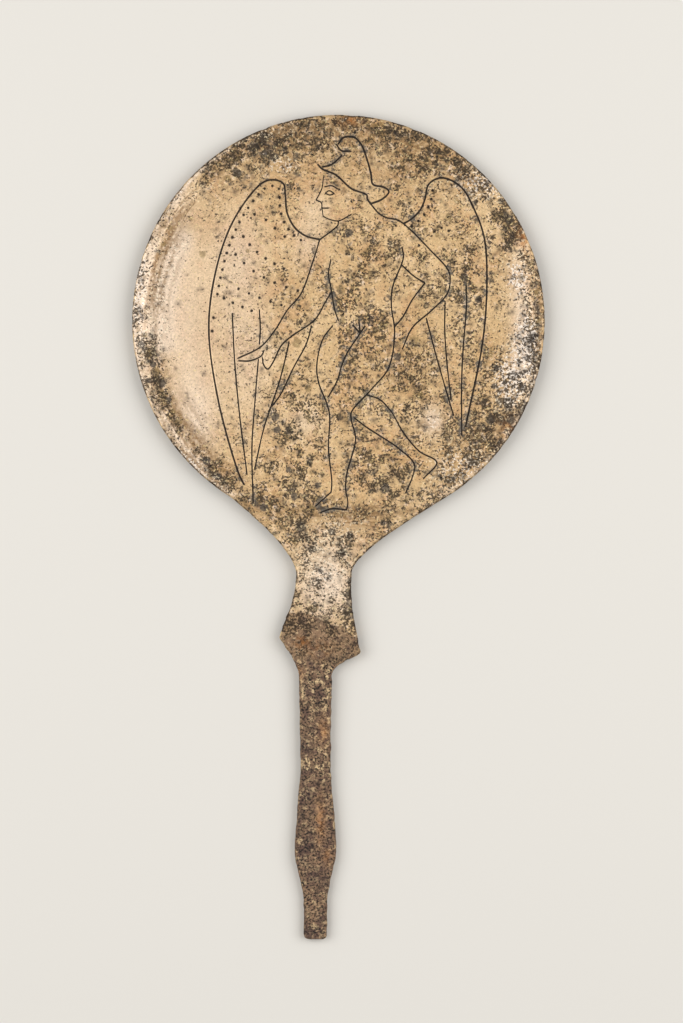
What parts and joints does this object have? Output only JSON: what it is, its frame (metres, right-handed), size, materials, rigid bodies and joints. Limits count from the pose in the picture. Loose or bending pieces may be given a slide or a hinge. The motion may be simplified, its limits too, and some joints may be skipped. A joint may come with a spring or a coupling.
{
  "type": "etruscan hand mirror",
  "caption": "Cast bronze hand mirror: a round, slightly dished disc with a raised rim and an engraved winged figure, a flared neck, pointed shoulders and a flat tang.",
  "frame": {"origin": "under the centre of the disc, on the surface that the mirror lies on, in the middle of the flat spot of its underside", "axes": "+Y from the tang towards the top of the disc, +X to the right as the engraved figure is seen, +Z out of the engraved face"},
  "size_m": [0.1234, 0.2467, 0.0049],
  "materials": {
    "bronze": "worn ancient bronze, pale gold where it is rubbed bright, speckled with dark brown and blue-grey corrosion"
  },
  "bodies": {
    "root": {"mirror": "bronze"}
  },
  "joints": []
}
